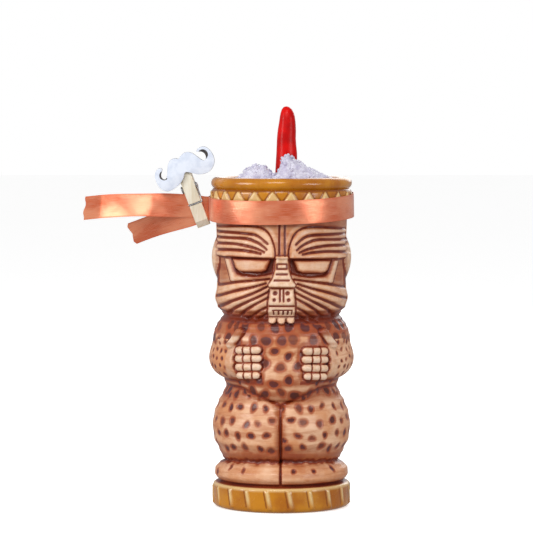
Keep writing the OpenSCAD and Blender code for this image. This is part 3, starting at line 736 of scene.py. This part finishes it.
def ribbonRoute():
    # middle line of the whole ribbon with its up direction, from the long tail's cut end to the short tail's
    p = ribbonPlan
    plane = Matrix.Translation((0, 0, p["height"])) @ turned("Y", p["roll"]) @ turned("X", p["pitch"])
    jaws = plane @ Matrix.Translation((p["join"], 0, 0)) @ turned("Z", p["jawTurn"])
    longFrame = jaws @ Matrix.Translation((p["jaw"], 0, 1.2)) @ turned("Y", 2.2)
    shortFrame = jaws @ Matrix.Translation((p["jaw"], 0, -2.0)) @ turned("Y", -17.5)
    route = []

    def put(frame, x, y, z=0.0, tip=0.0):
        up = frame.to_3x3() @ Vector((0, math.sin(tip), math.cos(tip)))
        route.append((frame @ Vector((x, y, z)), up))

    for k in range(70):
        x = -p["longTail"] + (p["longTail"] - 2) * k / 69
        t = max(0.0, -x - p["tailFlat"]) / (p["longTail"] - p["tailFlat"])
        sway = -3.6 * math.sin(math.pi * min(1, t * 1.2)) * min(1, t * 3) + 2.2 * t * t
        put(longFrame, x, -p["layer"] + sway, 0.9 * math.sin(math.pi * t) - 2.6 * t * t,
            0.36 * math.sin(math.pi * min(1, t * 1.1)) ** 1.5)
    for k in range(1, 8):
        put(jaws, p["jaw"] - p["jaw"] * k / 8, -p["layer"], 1.2 * (1 - k / 8) ** 2)
    ends = math.radians(p["leave"])
    loop = p["loopRadius"]
    start = Vector((-loop * math.cos(ends), -loop * math.sin(ends), 0))
    for k in range(1, 8):
        flat = Vector((p["join"], -p["layer"], 0)).lerp(start, k / 8)
        put(plane, flat.x, flat.y)
    for k in range(261):
        angle = math.pi + ends + (2 * math.pi - 2 * ends) * k / 260
        slack = 0.25 * math.sin(angle * 5 + 1) * math.sin(angle * 2.0 + 0.4) ** 2
        put(plane, (loop + abs(slack)) * math.cos(angle), (loop + abs(slack)) * math.sin(angle))
    finish = Vector((-loop * math.cos(ends), loop * math.sin(ends), 0))
    for k in range(1, 8):
        flat = finish.lerp(Vector((p["join"], p["layer"], 0)), k / 8)
        put(plane, flat.x, flat.y)
    for k in range(1, 8):
        put(jaws, p["jaw"] * k / 8, p["layer"], -2.0 * ease(np.array(k / 8)))
    for k in range(46):
        x = -0.6 - (p["shortTail"] - 0.6) * k / 45
        t = max(0.0, -x - p["tailFlat"]) / (p["shortTail"] - p["tailFlat"])
        sway = 3.4 * (1 - math.cos(0.5 * 2 * math.pi * t)) / 2 * min(1, t * 4)
        put(shortFrame, x, p["layer"] + sway, 0.5 * math.sin(math.pi * t), -0.3 * math.sin(math.pi * t * 0.7))
    return route


def buildRibbon():
    p = ribbonPlan
    route = ribbonRoute()
    ribbon, co = newSheet("satinRibbon", len(route) - 1, p["across"])
    i, v = gridNumber(co[:, 0], len(route) - 1), co[:, 1]
    middle = np.array([q[0] for q in route])
    up = np.array([q[1].normalized() for q in route])
    along = np.concatenate([[0], np.cumsum(np.linalg.norm(np.diff(middle, axis=0), axis=1))])
    point = middle[i] + up[i] * (v * p["width"] / 2)[:, None]
    # cut ends: a slanted wavy cut on the long tail, a swallow tail on the short one
    s = along[i]
    total = along[-1]
    ahead = np.gradient(middle, axis=0)
    ahead /= np.linalg.norm(ahead, axis=1)[:, None]
    cutStart = np.clip(1 - s / 9, 0, 1) * (1.7 * (1 + v) / 2 + 0.45 * np.sin(v * 5.2))
    notch = 1.3 * (1 - np.abs(v)) ** 1.5 + 1.3 * rise(np.abs(v), 0.72, 1.0) + 0.5 * (1 - v) / 2
    cutEnd = np.clip(1 - (total - s) / 9, 0, 1) * notch
    point += ahead[i] * cutStart[:, None] - ahead[i] * cutEnd[:, None]
    outward = np.cross(ahead, up)
    crown = 0.12 * (1 - v ** 2) + 0.05 * np.sin(s / 3.1 + v * 2)
    point += outward[i] * crown[:, None]
    setCoordinates(ribbon.data, point * mm)
    if not ribbon.data.uv_layers:
        ribbon.data.uv_layers.new(name="strip")
    ribbon.data.uv_layers[0].name = "strip"
    corner = np.empty(len(ribbon.data.loops), dtype=np.int32)
    ribbon.data.loops.foreach_get("vertex_index", corner)
    uv = np.stack([s[corner] * mm, v[corner] * p["width"] / 2 * mm], 1)
    ribbon.data.uv_layers["strip"].data.foreach_set("uv", uv.astype(np.float32).ravel())
    applyModifier(ribbon, "SOLIDIFY", thickness=p["thick"] * mm, offset=0.0)
    smoothShade(ribbon, 50)
    return ribbon, total


def satin():
    f = Finish("copperSatin", Metallic=0.5, Specular_IOR_Level=0.8, Sheen_Weight=0.15, Sheen_Roughness=0.4)
    uv = f.add("ShaderNodeUVMap", {"uv_map": "strip"})
    def along(scale): return f.add("ShaderNodeMapping", None, {"Vector": uv, "Scale": scale})
    weft = f.noise(1.0, 2, 0.5, along((9000, 900, 1)))
    warpAndSheen = f.noise(1.0, 3, 0.55, along((140, 9000, 1)))
    cloud = f.noise(1.0, 3, 0.5, along((48, 90, 1)))
    parts = f.add("ShaderNodeSeparateXYZ", None, {"Vector": uv}, "Y")
    edge = f.fit(f.add("ShaderNodeMath", {"operation": "ABSOLUTE"}, {0: parts}), 0.0052, 0.0061)
    colour = f.blend(f.fit(cloud, 0.35, 0.65), tint(214, 92, 44), tint(242, 146, 104))
    # painted sheen: lengthwise streaks of the weave lightened towards a pale highlight colour
    colour = f.blend(f.fit(warpAndSheen, 0.4, 0.75) * 0.5, colour, tint(252, 196, 168))
    colour = f.blend(edge * 0.35, colour, tint(200, 86, 44))
    rough = 0.3 + (warpAndSheen - 0.5) * 0.16 + edge * 0.15
    relief = f.bump(weft, 0.12, 0.00012, f.bump(warpAndSheen, 0.22, 0.0002))
    return f.feed(Base_Color=colour, Roughness=rough, Normal=relief)


ribbonPiece, ribbonLength = buildRibbon()
dress(ribbonPiece, satin(), "mug", ["ribbon"])
print("ribbon laid, length", round(ribbonLength, 1), "mm")


# the clothes-peg's legs and its spring keep their CAD shape
pegPlan = dict(turn=-19.0, bite=10.1, grainTurn=20.5)


def birch():
    f = Finish("birch", Specular_IOR_Level=0.35)
    lean = math.radians(pegPlan["grainTurn"])
    grain = f.noise(300, 5, 0.6, f.stretched((1.0, 1.0, 0.12), (0, lean, 0)), 0.6)
    fibre = f.noise(1500, 3, 0.6, f.stretched((1.0, 1.0, 0.06), (0, lean, 0)))
    cloud = f.noise(90, 2, 0.5)
    colour = f.blend(f.fit(grain, 0.35, 0.7), tint(240, 234, 216), tint(220, 208, 180))
    colour = f.blend(f.fit(fibre, 0.5, 0.8) * 0.4, colour, tint(198, 182, 148))
    colour = f.blend(f.fit(cloud, 0.5, 0.8) * 0.3, colour, tint(232, 216, 188))
    return f.feed(Base_Color=colour, Roughness=0.55 + (fibre - 0.5) * 0.3,
                  Normal=f.bump(fibre, 0.25, 0.0002, f.bump(grain, 0.15, 0.0003)))


def drawnWire():
    f = Finish("drawnWire", Specular_IOR_Level=0.5)
    draw = f.noise(700, 3, 0.6)
    colour = f.blend(f.fit(draw, 0.4, 0.7), tint(196, 196, 198), tint(150, 150, 154))
    metal = f.fit(draw, 0.0, 1.0, (0.9, 1.0))
    return f.feed(Base_Color=colour, Roughness=0.24 + (draw - 0.5) * 0.2, Metallic=metal,
                  Normal=f.bump(draw, 0.1, 0.0001))


for nodeName, finish in (("peg_front_leg", birch), ("peg_back_leg", birch),
                         ("peg_spring", drawnWire), ("peg_spring_back_arm", drawnWire)):
    piece = frame["nodes"][nodeName]
    piece.data.materials.clear()
    piece.data.materials.append(finish())
print("peg and spring finished")


plaquePlan = dict(
    at=(2.0, -3.82, 33.5), tilt=-6.5, thick=1.6, edge=0.22,
    darkPatches=[(-12.3, 1.1, 2.6, -0.8, -0.6), (11.5, 1.8, 2.9, 0.8, 0.6)],
    outline=[(-11.5, 4.6), (-12.4, 3.4), (-13.5, 2.2), (-13.9, 0.7), (-13.3, -0.7), (-12.0, -0.9), (-10.7, 0.5),
             (-9.4, 2.7), (-8.0, 4.9), (-6.1, 6.7), (-3.9, 7.1), (-2.2, 6.5), (-1.1, 5.7), (0.5, 6.5), (2.9, 7.2),
             (5.0, 6.7), (6.9, 5.2), (8.2, 2.9), (9.2, 0.9), (10.4, -1.0), (11.6, -1.3), (12.7, 0.1), (12.7, 2.1),
             (11.6, 3.6), (10.1, 4.3), (9.4, 5.0), (10.8, 5.9), (13.3, 5.8), (15.2, 4.4), (16.3, 1.8), (16.5, -1.4),
             (15.6, -4.4), (13.8, -6.4), (11.4, -7.7), (8.4, -7.9), (4.7, -6.6), (1.9, -4.4), (-1.1, -2.6),
             (-3.8, -5.2), (-7.5, -7.1), (-12.0, -7.8), (-15.1, -7.0), (-17.1, -4.2), (-17.6, -0.4), (-17.0, 2.5),
             (-15.6, 4.7), (-13.6, 5.8), (-12.0, 5.5)])


def roundedLoop(points, steps=5):
    # a closed line eased through its points
    out = []
    for k in range(len(points)):
        near = [np.array(points[(k + d) % len(points)]) for d in (-1, 0, 1, 2)]
        out += [curvePoint(*near, s / steps) for s in range(steps)]
    return out


def pegFrame():
    # the peg hangs in the ribbon's plane, turned clockwise, and bites a little above its tips
    p = ribbonPlan
    jaws = Matrix.Translation((0, 0, p["height"] * mm)) @ turned("Y", p["roll"]) @ turned("X", p["pitch"])
    jaws = jaws @ Matrix.Translation((p["join"] * mm, 0, 0)) @ turned("Z", p["jawTurn"])
    hung = jaws @ Matrix.Translation((p["jaw"] * mm, 0, 0)) @ turned("Y", pegPlan["turn"])
    return hung @ Matrix.Translation((0, 0, -pegPlan["bite"] * mm))


def plaqueFrame():
    return pegFrame() @ Matrix.Translation(Vector(plaquePlan["at"]) * mm) @ turned("Y", plaquePlan["tilt"])


def buildPlaque():
    p = plaquePlan
    points = roundedLoop(p["outline"])
    clearSelection()
    # a ring of points drawn as the outline, filled, thickened and rounded over
    bpy.ops.mesh.primitive_circle_add(vertices=len(points), radius=1, fill_type="NGON")
    plaque = newest("moustachePlaque")
    co = coordinates(plaque.data)
    order = np.argsort((np.arctan2(co[:, 1], co[:, 0]) + 2 * math.pi) % (2 * math.pi))
    flat = np.array(points)
    area = 0.5 * np.sum(flat[:, 0] * np.roll(flat[:, 1], -1) - flat[:, 1] * np.roll(flat[:, 0], -1))
    if area < 0:
        flat = flat[::-1]
    placed = np.zeros_like(co)
    placed[order, 0], placed[order, 2] = flat[:, 0], flat[:, 1]
    setCoordinates(plaque.data, placed * mm)
    bpy.ops.object.mode_set(mode="EDIT")
    bpy.ops.mesh.select_all(action="SELECT")
    bpy.ops.mesh.extrude_region_move(TRANSFORM_OT_translate={"value": (0, -p["thick"] * mm, 0)})
    bpy.ops.mesh.select_all(action="SELECT")
    bpy.ops.mesh.normals_make_consistent(inside=False)
    bpy.ops.object.mode_set(mode="OBJECT")
    applyModifier(plaque, "BEVEL", width=p["edge"] * mm, segments=3, limit_method="ANGLE", angle_limit=math.radians(60))
    deep = np.abs(coordinates(plaque.data)[:, 1] / mm + p["thick"] / 2)      # from the middle of its thickness
    paintLayer(plaque.data, "burnt", np.clip((p["thick"] / 2 - 0.05 - deep) / 0.1, 0, 1))
    plaque.matrix_world = plaqueFrame()
    placeHere(plaque)
    smoothShade(plaque, 40)
    return plaque


def whitePaint():
    f = Finish("whitePaint", Coat_Roughness=0.3)
    flat = f.stretched((1, 0, 1))
    parts = [f.add("ShaderNodeSeparateXYZ", None, {"Vector": f.place}, way) for way in "XZ"]
    darkening = None
    # the curls' tips are darkened, on the side that each curl turns to
    place = plaqueFrame()
    for cx, cz, radius, leanX, leanZ in plaquePlan["darkPatches"]:
        middle = place @ (Vector((cx, 0, cz)) * mm)
        away = f.add("ShaderNodeVectorMath", {"operation": "DISTANCE"}, {0: flat, 1: (middle.x, 0, middle.z)}, "Value")
        lean = (parts[0] - middle.x) * leanX + (parts[1] - middle.z) * leanZ
        patch = (1 - f.fit(away, (radius - 0.15) * mm, (radius + 0.05) * mm)) * f.fit(lean, -0.6 * mm, -0.3 * mm)
        darkening = patch if darkening is None else darkening + patch
    roller = f.noise(260, 4, 0.55)
    speck = f.noise(1600, 2, 0.5)
    colour = f.blend(f.fit(roller, 0.35, 0.7), tint(226, 232, 244), tint(208, 216, 232))
    darkening = darkening + f.layer("burnt") * 0.9
    nearBlack = f.blend(f.fit(speck, 0.4, 0.7), tint(40, 36, 38), tint(74, 66, 62))
    colour = f.blend(f.fit(darkening, 0.3, 0.6), colour, nearBlack)
    return f.feed(Base_Color=colour, Roughness=0.4 + (roller - 0.5) * 0.2 + darkening * 0.1,
                  Normal=f.bump(roller, 0.1, 0.0003, f.bump(speck, 0.08, 0.0001)))


plaquePiece = buildPlaque()
dress(plaquePiece, whitePaint(), "peg_front", ["moustache_plaque"])
print("plaque cut")


icePlan = dict(radius=29.4, brim=30.1, rest=107.3, pepper=(2.5, 2.0), hole=6.35, socketFloor=150.5, chips=330,
               wallSink=1.0, topSink=0.6, mouthSink=0.8, rows=(4, 8, 84, 8),
               ridge=[(-30, 175.5), (-24, 177.2), (-21.5, 179.6), (-19, 182.4), (-16, 184.2), (-12, 185.0), (-9, 184.4),
                      (-7.3, 182.6), (-5.6, 180.6), (-2.6, 180.4), (-1.3, 182.8), (-0.2, 187.2), (1.2, 189.6),
                      (3.2, 190.2), (6, 189.0), (9, 186.8), (13, 184.2), (17, 182.0), (22, 180.0), (27, 178.4),
                      (30, 176.4)],
               lumps=[(-15.5, -13, 180.8, 8.4), (-11.2, -12, 180.9, 7.8), (-18.6, -10, 179.0, 6.4),
                      (4.4, -10.5, 184.6, 8.0), (9.0, -12, 182.0, 7.4), (14.4, -11, 179.8, 7.2),
                      (20.0, -9, 178.0, 6.2)])


def hashNoise(x, y, scale, seed):
    # smooth noise on a lattice, -1 to 1
    u, v = x / scale + seed * 7.13, y / scale + seed * 3.7
    i, j = np.floor(u), np.floor(v)
    fu, fv = ease(u - i), ease(v - j)
    def corner(di, dj):
        h = np.sin((i + di) * 127.1 + (j + dj) * 311.7 + seed * 74.7) * 43758.5453
        return (h - np.floor(h)) * 2 - 1
    low = corner(0, 0) * (1 - fu) + corner(1, 0) * fu
    high = corner(0, 1) * (1 - fu) + corner(1, 1) * fu
    return low * (1 - fv) + high * fv


def iceTop(x, y, rough=0.0):
    # height of the heap over the mug's mouth: a ridge in front of the chilli that runs down to the right, a low back
    p = icePlan
    x, y = np.asarray(x, float), np.asarray(y, float)
    d = np.hypot(x, y)
    ridge = np.interp(x, [q[0] for q in p["ridge"]], [q[1] for q in p["ridge"]])
    front = gate(y, -16, -7.5, 5.5 + (y < -16) * 5.0)
    base = 176.6 + 1.4 * hashNoise(x, y, 7, 2) * (d < 26) - 2.0 * (d / 30) ** 4
    height = base + np.maximum(ridge - base, 0) * front
    crumb = 0.55 * hashNoise(x, y, 2.6, 1) + 0.35 * hashNoise(x, y, 1.3, 3) + 0.2 * hashNoise(x, y, 0.65, 5)
    return height + rough * crumb


def chipShapes():
    shapes = []
    for k in range(6):
        clearSelection()
        bpy.ops.mesh.primitive_ico_sphere_add(subdivisions=2, radius=0.5)
        chip = newest(f"iceChip{k}")
        rng = np.random.default_rng(40 + k)
        co = coordinates(chip.data)
        stretch = rng.uniform(0.62, 1.0, 3)
        # a few flat breaks: points past each cutting plane are pressed back onto it
        for _ in range(7):
            way = rng.normal(size=3)
            way /= np.linalg.norm(way)
            reach = co @ way
            cut = rng.uniform(0.26, 0.4)
            co = co - np.outer(np.maximum(reach - cut, 0), way)
        setCoordinates(chip.data, co * stretch)
        shapes.append(chip)
    return shapes


def scatterIce():
    p = icePlan
    rng = np.random.default_rng(5)
    shapes = chipShapes()
    spots = [((x, y, z), size) for x, y, z, size in p["lumps"]]
    while len(spots) < p["chips"]:
        angle, reach = rng.uniform(0, 2 * math.pi), p["radius"] * math.sqrt(rng.uniform(0, 1))
        x, y = reach * math.cos(angle), reach * math.sin(angle)
        size = rng.uniform(1.3, 3.3) * (1.3 if y > 0 else 1)
        apart = math.hypot(x - p["pepper"][0], y - p["pepper"][1])
        if apart < p["hole"] + size * 0.5 or reach + size * 0.5 > p["radius"]:
            continue
        spots.append(((x, y, float(iceTop(x, y)) - size * rng.uniform(0.0, 0.32)), size))
    made = []
    for k, (place, size) in enumerate(spots):
        chip = bpy.data.objects.new(f"chip{k}", shapes[k % len(shapes)].data.copy())
        bpy.context.collection.objects.link(chip)
        chip.rotation_euler = rng.uniform(0, 2 * math.pi, 3)
        chip.scale = (size * mm,) * 3
        chip.location = Vector(place) * mm
        made.append(chip)
    clearSelection()
    for chip in made:
        chip.select_set(True)
    bpy.context.view_layer.objects.active = made[0]
    bpy.ops.object.join()
    heap = newest("iceLumps")
    placeHere(heap)
    for source in shapes:
        bpy.data.objects.remove(source)
    smoothShade(heap, 24)
    return heap


def packedIce():
    # one sheet turned into the plug of ice: its underside, its wall, the crushed heap on top and the chilli's socket
    p = icePlan
    rows, brim, hole, rest = p["rows"], p["brim"], p["hole"], p["rest"]
    ends = np.cumsum(rows)
    pack, co = newSheet("icePack", 230, int(ends[-1]))
    j = gridNumber(co[:, 1], ends[-1])
    angle = (co[:, 0] + 1) * math.pi
    c, s = np.cos(angle), np.sin(angle)
    px, py = p["pepper"]
    points = np.zeros_like(co)
    low, wall = j <= ends[0], (j > ends[0]) & (j <= ends[1])
    top, bore = (j > ends[1]) & (j <= ends[2]), j > ends[2]
    t = j / rows[0]
    points[low] = np.stack([brim * t * c, brim * t * s, np.full(len(c), rest)], 1)[low]
    t = (j - ends[0]) / rows[1]
    edge = iceTop(brim * c, brim * s) - p["wallSink"]
    points[wall] = np.stack([brim * c, brim * s, rest + (edge - rest) * t], 1)[wall]
    t = (j - ends[1]) / rows[2]
    x = brim * c * (1 - t) + (px + hole * c) * t
    y = brim * s * (1 - t) + (py + hole * s) * t
    points[top] = np.stack([x, y, iceTop(x, y, 1.0) - p["topSink"]], 1)[top]
    t = (j - ends[2]) / rows[3]
    mouth = iceTop(px + hole * c, py + hole * s) - p["mouthSink"]
    sunk = mouth + (p["socketFloor"] - mouth) * np.minimum(t * rows[3] / (rows[3] - 1), 1)
    points[bore] = np.stack([px + hole * c * (j < ends[3]), py + hole * s * (j < ends[3]), sunk], 1)[bore]
    setCoordinates(pack.data, points * mm)
    # painted shade: the heap's top is darker where its crumbs dip below the smooth heap
    crumb = np.where(top, iceTop(x, y, 1.0) - iceTop(x, y), 0)
    paintLayer(pack.data, "hollowShade", np.clip(0.5 - crumb * 0.7, 0, 1))
    closeShell(2e-6)
    smoothShade(pack, 35)
    return pack


def frostedIce(name, shadedHollows):
    f = Finish(name, IOR=1.31, Transmission_Weight=0.12, Specular_IOR_Level=0.45)
    crack = f.add("ShaderNodeTexVoronoi", {"feature": "DISTANCE_TO_EDGE"}, {"Vector": f.place, "Scale": 520.0},
                  "Distance")
    cloud = f.noise(190, 5, 0.6)
    fine = f.noise(1100, 3, 0.6)
    colour = f.blend(f.fit(cloud, 0.4, 0.68), tint(232, 230, 244), tint(196, 190, 216))
    colour = f.blend((1 - f.fit(crack, 0.0, 0.1)) * 0.45, colour, tint(176, 168, 196))
    if shadedHollows:
        # painted shade in the dips of the crushed heap
        colour = f.blend(f.fit(f.layer("hollowShade"), 0.55, 1.0) * 0.7, colour, tint(168, 158, 186))
    colour = f.blend(f.fit(fine, 0.6, 0.8) * 0.6, colour, tint(250, 250, 255))
    rough = 0.24 + f.fit(cloud, 0.4, 0.7) * 0.3
    return f.feed(Base_Color=colour, Roughness=rough, Normal=f.bump(fine, 0.35, 0.0004, f.bump(cloud, 0.4, 0.0009)))


lumpPiece, packPiece = scatterIce(), packedIce()
dress(lumpPiece, frostedIce("iceLump", False), "ice", ["ice_lumps"])
dress(packPiece, frostedIce("icePacked", True), "ice", ["ice_pack"])
print("ice crushed:", len(lumpPiece.data.polygons), "faces")


pepperPlan = dict(
    at=icePlan["pepper"],
    stations=[(163.0, 0.0, 0.1), (163.2, 2.4, 0.1), (164.4, 4.4, 0.1), (167, 5.7, 0.1), (172, 6.1, 0), (181, 5.95, 0),
              (190.8, 5.6, 0.3), (195, 5.3, 0.2), (198.8, 5.1, 0.15), (203, 4.95, 0.4), (207.5, 4.45, 0.65),
              (210.5, 4.05, 0.65), (212.7, 3.5, 0.55), (214.4, 2.7, 0.35), (215.4, 1.8, 0.2), (215.9, 0.9, 0.15),
              (216.0, 0.0, 0.1)])


def buildPepper():
    p = pepperPlan
    heights, radii, lean = (np.array([q[k] for q in p["stations"]]) for k in range(3))
    # a sheet rolled into a tube along the stations, pinched shut at both ends
    pepper, co = newSheet("pepperFlesh", 56, 64)
    t = (co[:, 1] + 1) / 2 * (len(heights) - 1)
    angle = (co[:, 0] + 1) * math.pi
    z, radius, off = (np.interp(t, np.arange(len(heights)), table) for table in (heights, radii, lean))
    fold = 1 + 0.022 * np.cos(3 * angle + 0.6) * np.clip((212 - z) / 30, 0, 1) + 0.01 * np.sin(5 * angle + z * 0.12)
    px, py = p["at"]
    x, y = px + off + radius * fold * np.cos(angle), py + radius * fold * np.sin(angle)
    setCoordinates(pepper.data, np.stack([x, y, z], 1) * mm)
    closeShell(2e-6)
    smoothShade(pepper, 60)
    return pepper


calyxPlan = dict(sides=30, radius=4.1, depth=1.2, middle=162.9, shoulder=2.2, neck=3.2, taper=0.62, stalk=3.0,
                 lean=0.2, flare=1.15, lobes=5, lobeCut=0.12, lobeFrom=3.5, edge=0.25)


def buildCalyx():
    p = calyxPlan
    px, py = (v * mm for v in pepperPlan["at"])
    clearSelection()
    bpy.ops.mesh.primitive_cylinder_add(vertices=p["sides"], radius=p["radius"] * mm, depth=p["depth"] * mm,
                                        location=(px, py, p["middle"] * mm))
    calyx = newest("pepperCalyx")
    placeHere(calyx)
    bpy.ops.object.mode_set(mode="EDIT")
    pickFaces(calyx, lambda c, n: n.z < -0.9)
    bpy.ops.mesh.inset(thickness=p["shoulder"] * mm)
    for slide, drop, scale in ((0, p["neck"], p["taper"]), (p["lean"], p["stalk"], p["flare"])):
        bpy.ops.mesh.extrude_region_move(TRANSFORM_OT_translate={"value": (slide * mm, 0, -drop * mm)})
        bpy.ops.transform.resize(value=(scale, scale, 1))
    bpy.ops.object.mode_set(mode="OBJECT")
    co = coordinates(calyx.data)
    dx, dy = co[:, 0] - px, co[:, 1] - py
    lobe = 1 - p["lobeCut"] * (0.5 + 0.5 * np.cos(p["lobes"] * np.arctan2(dy, dx)))
    lobe = np.where(np.hypot(dx, dy) > p["lobeFrom"] * mm, lobe, 1)
    co[:, 0], co[:, 1] = px + dx * lobe, py + dy * lobe
    setCoordinates(calyx.data, co)
    applyModifier(calyx, "BEVEL", width=p["edge"] * mm, segments=2, limit_method="ANGLE", angle_limit=math.radians(35))
    smoothShade(calyx, 50)
    return calyx


def waxyRed():
    f = Finish("chilliSkin", Coat_Roughness=0.2, Specular_IOR_Level=0.12)
    cloud = f.noise(120, 3, 0.5)
    streak = f.noise(260, 3, 0.5, f.stretched((1, 1, 0.15)))
    colour = f.blend(f.fit(cloud, 0.35, 0.7), tint(212, 6, 4), tint(176, 1, 2))
    colour = f.blend(f.fit(streak, 0.5, 0.8) * 0.35, colour, tint(224, 30, 16))
    return f.feed(Base_Color=colour, Roughness=0.4 + (cloud - 0.5) * 0.14, Coat_Weight=0.03 + streak * 0.06,
                  Normal=f.bump(streak, 0.12, 0.0004, f.bump(cloud, 0.25, 0.001)))


def stalkGreen():
    f = Finish("stalkGreen")
    vein = f.noise(500, 4, 0.6, f.stretched((1, 1, 0.2)))
    colour = f.blend(f.fit(vein, 0.35, 0.7), tint(96, 122, 52), tint(58, 88, 34))
    return f.feed(Base_Color=colour, Roughness=0.5 + (vein - 0.5) * 0.3, Normal=f.bump(vein, 0.3, 0.0003))


pepperPiece, calyxPiece = buildPepper(), buildCalyx()
dress(pepperPiece, waxyRed(), "pepper", ["pepper_flesh"])
dress(calyxPiece, stalkGreen(), "pepper", ["pepper_calyx"])
print("chilli set")
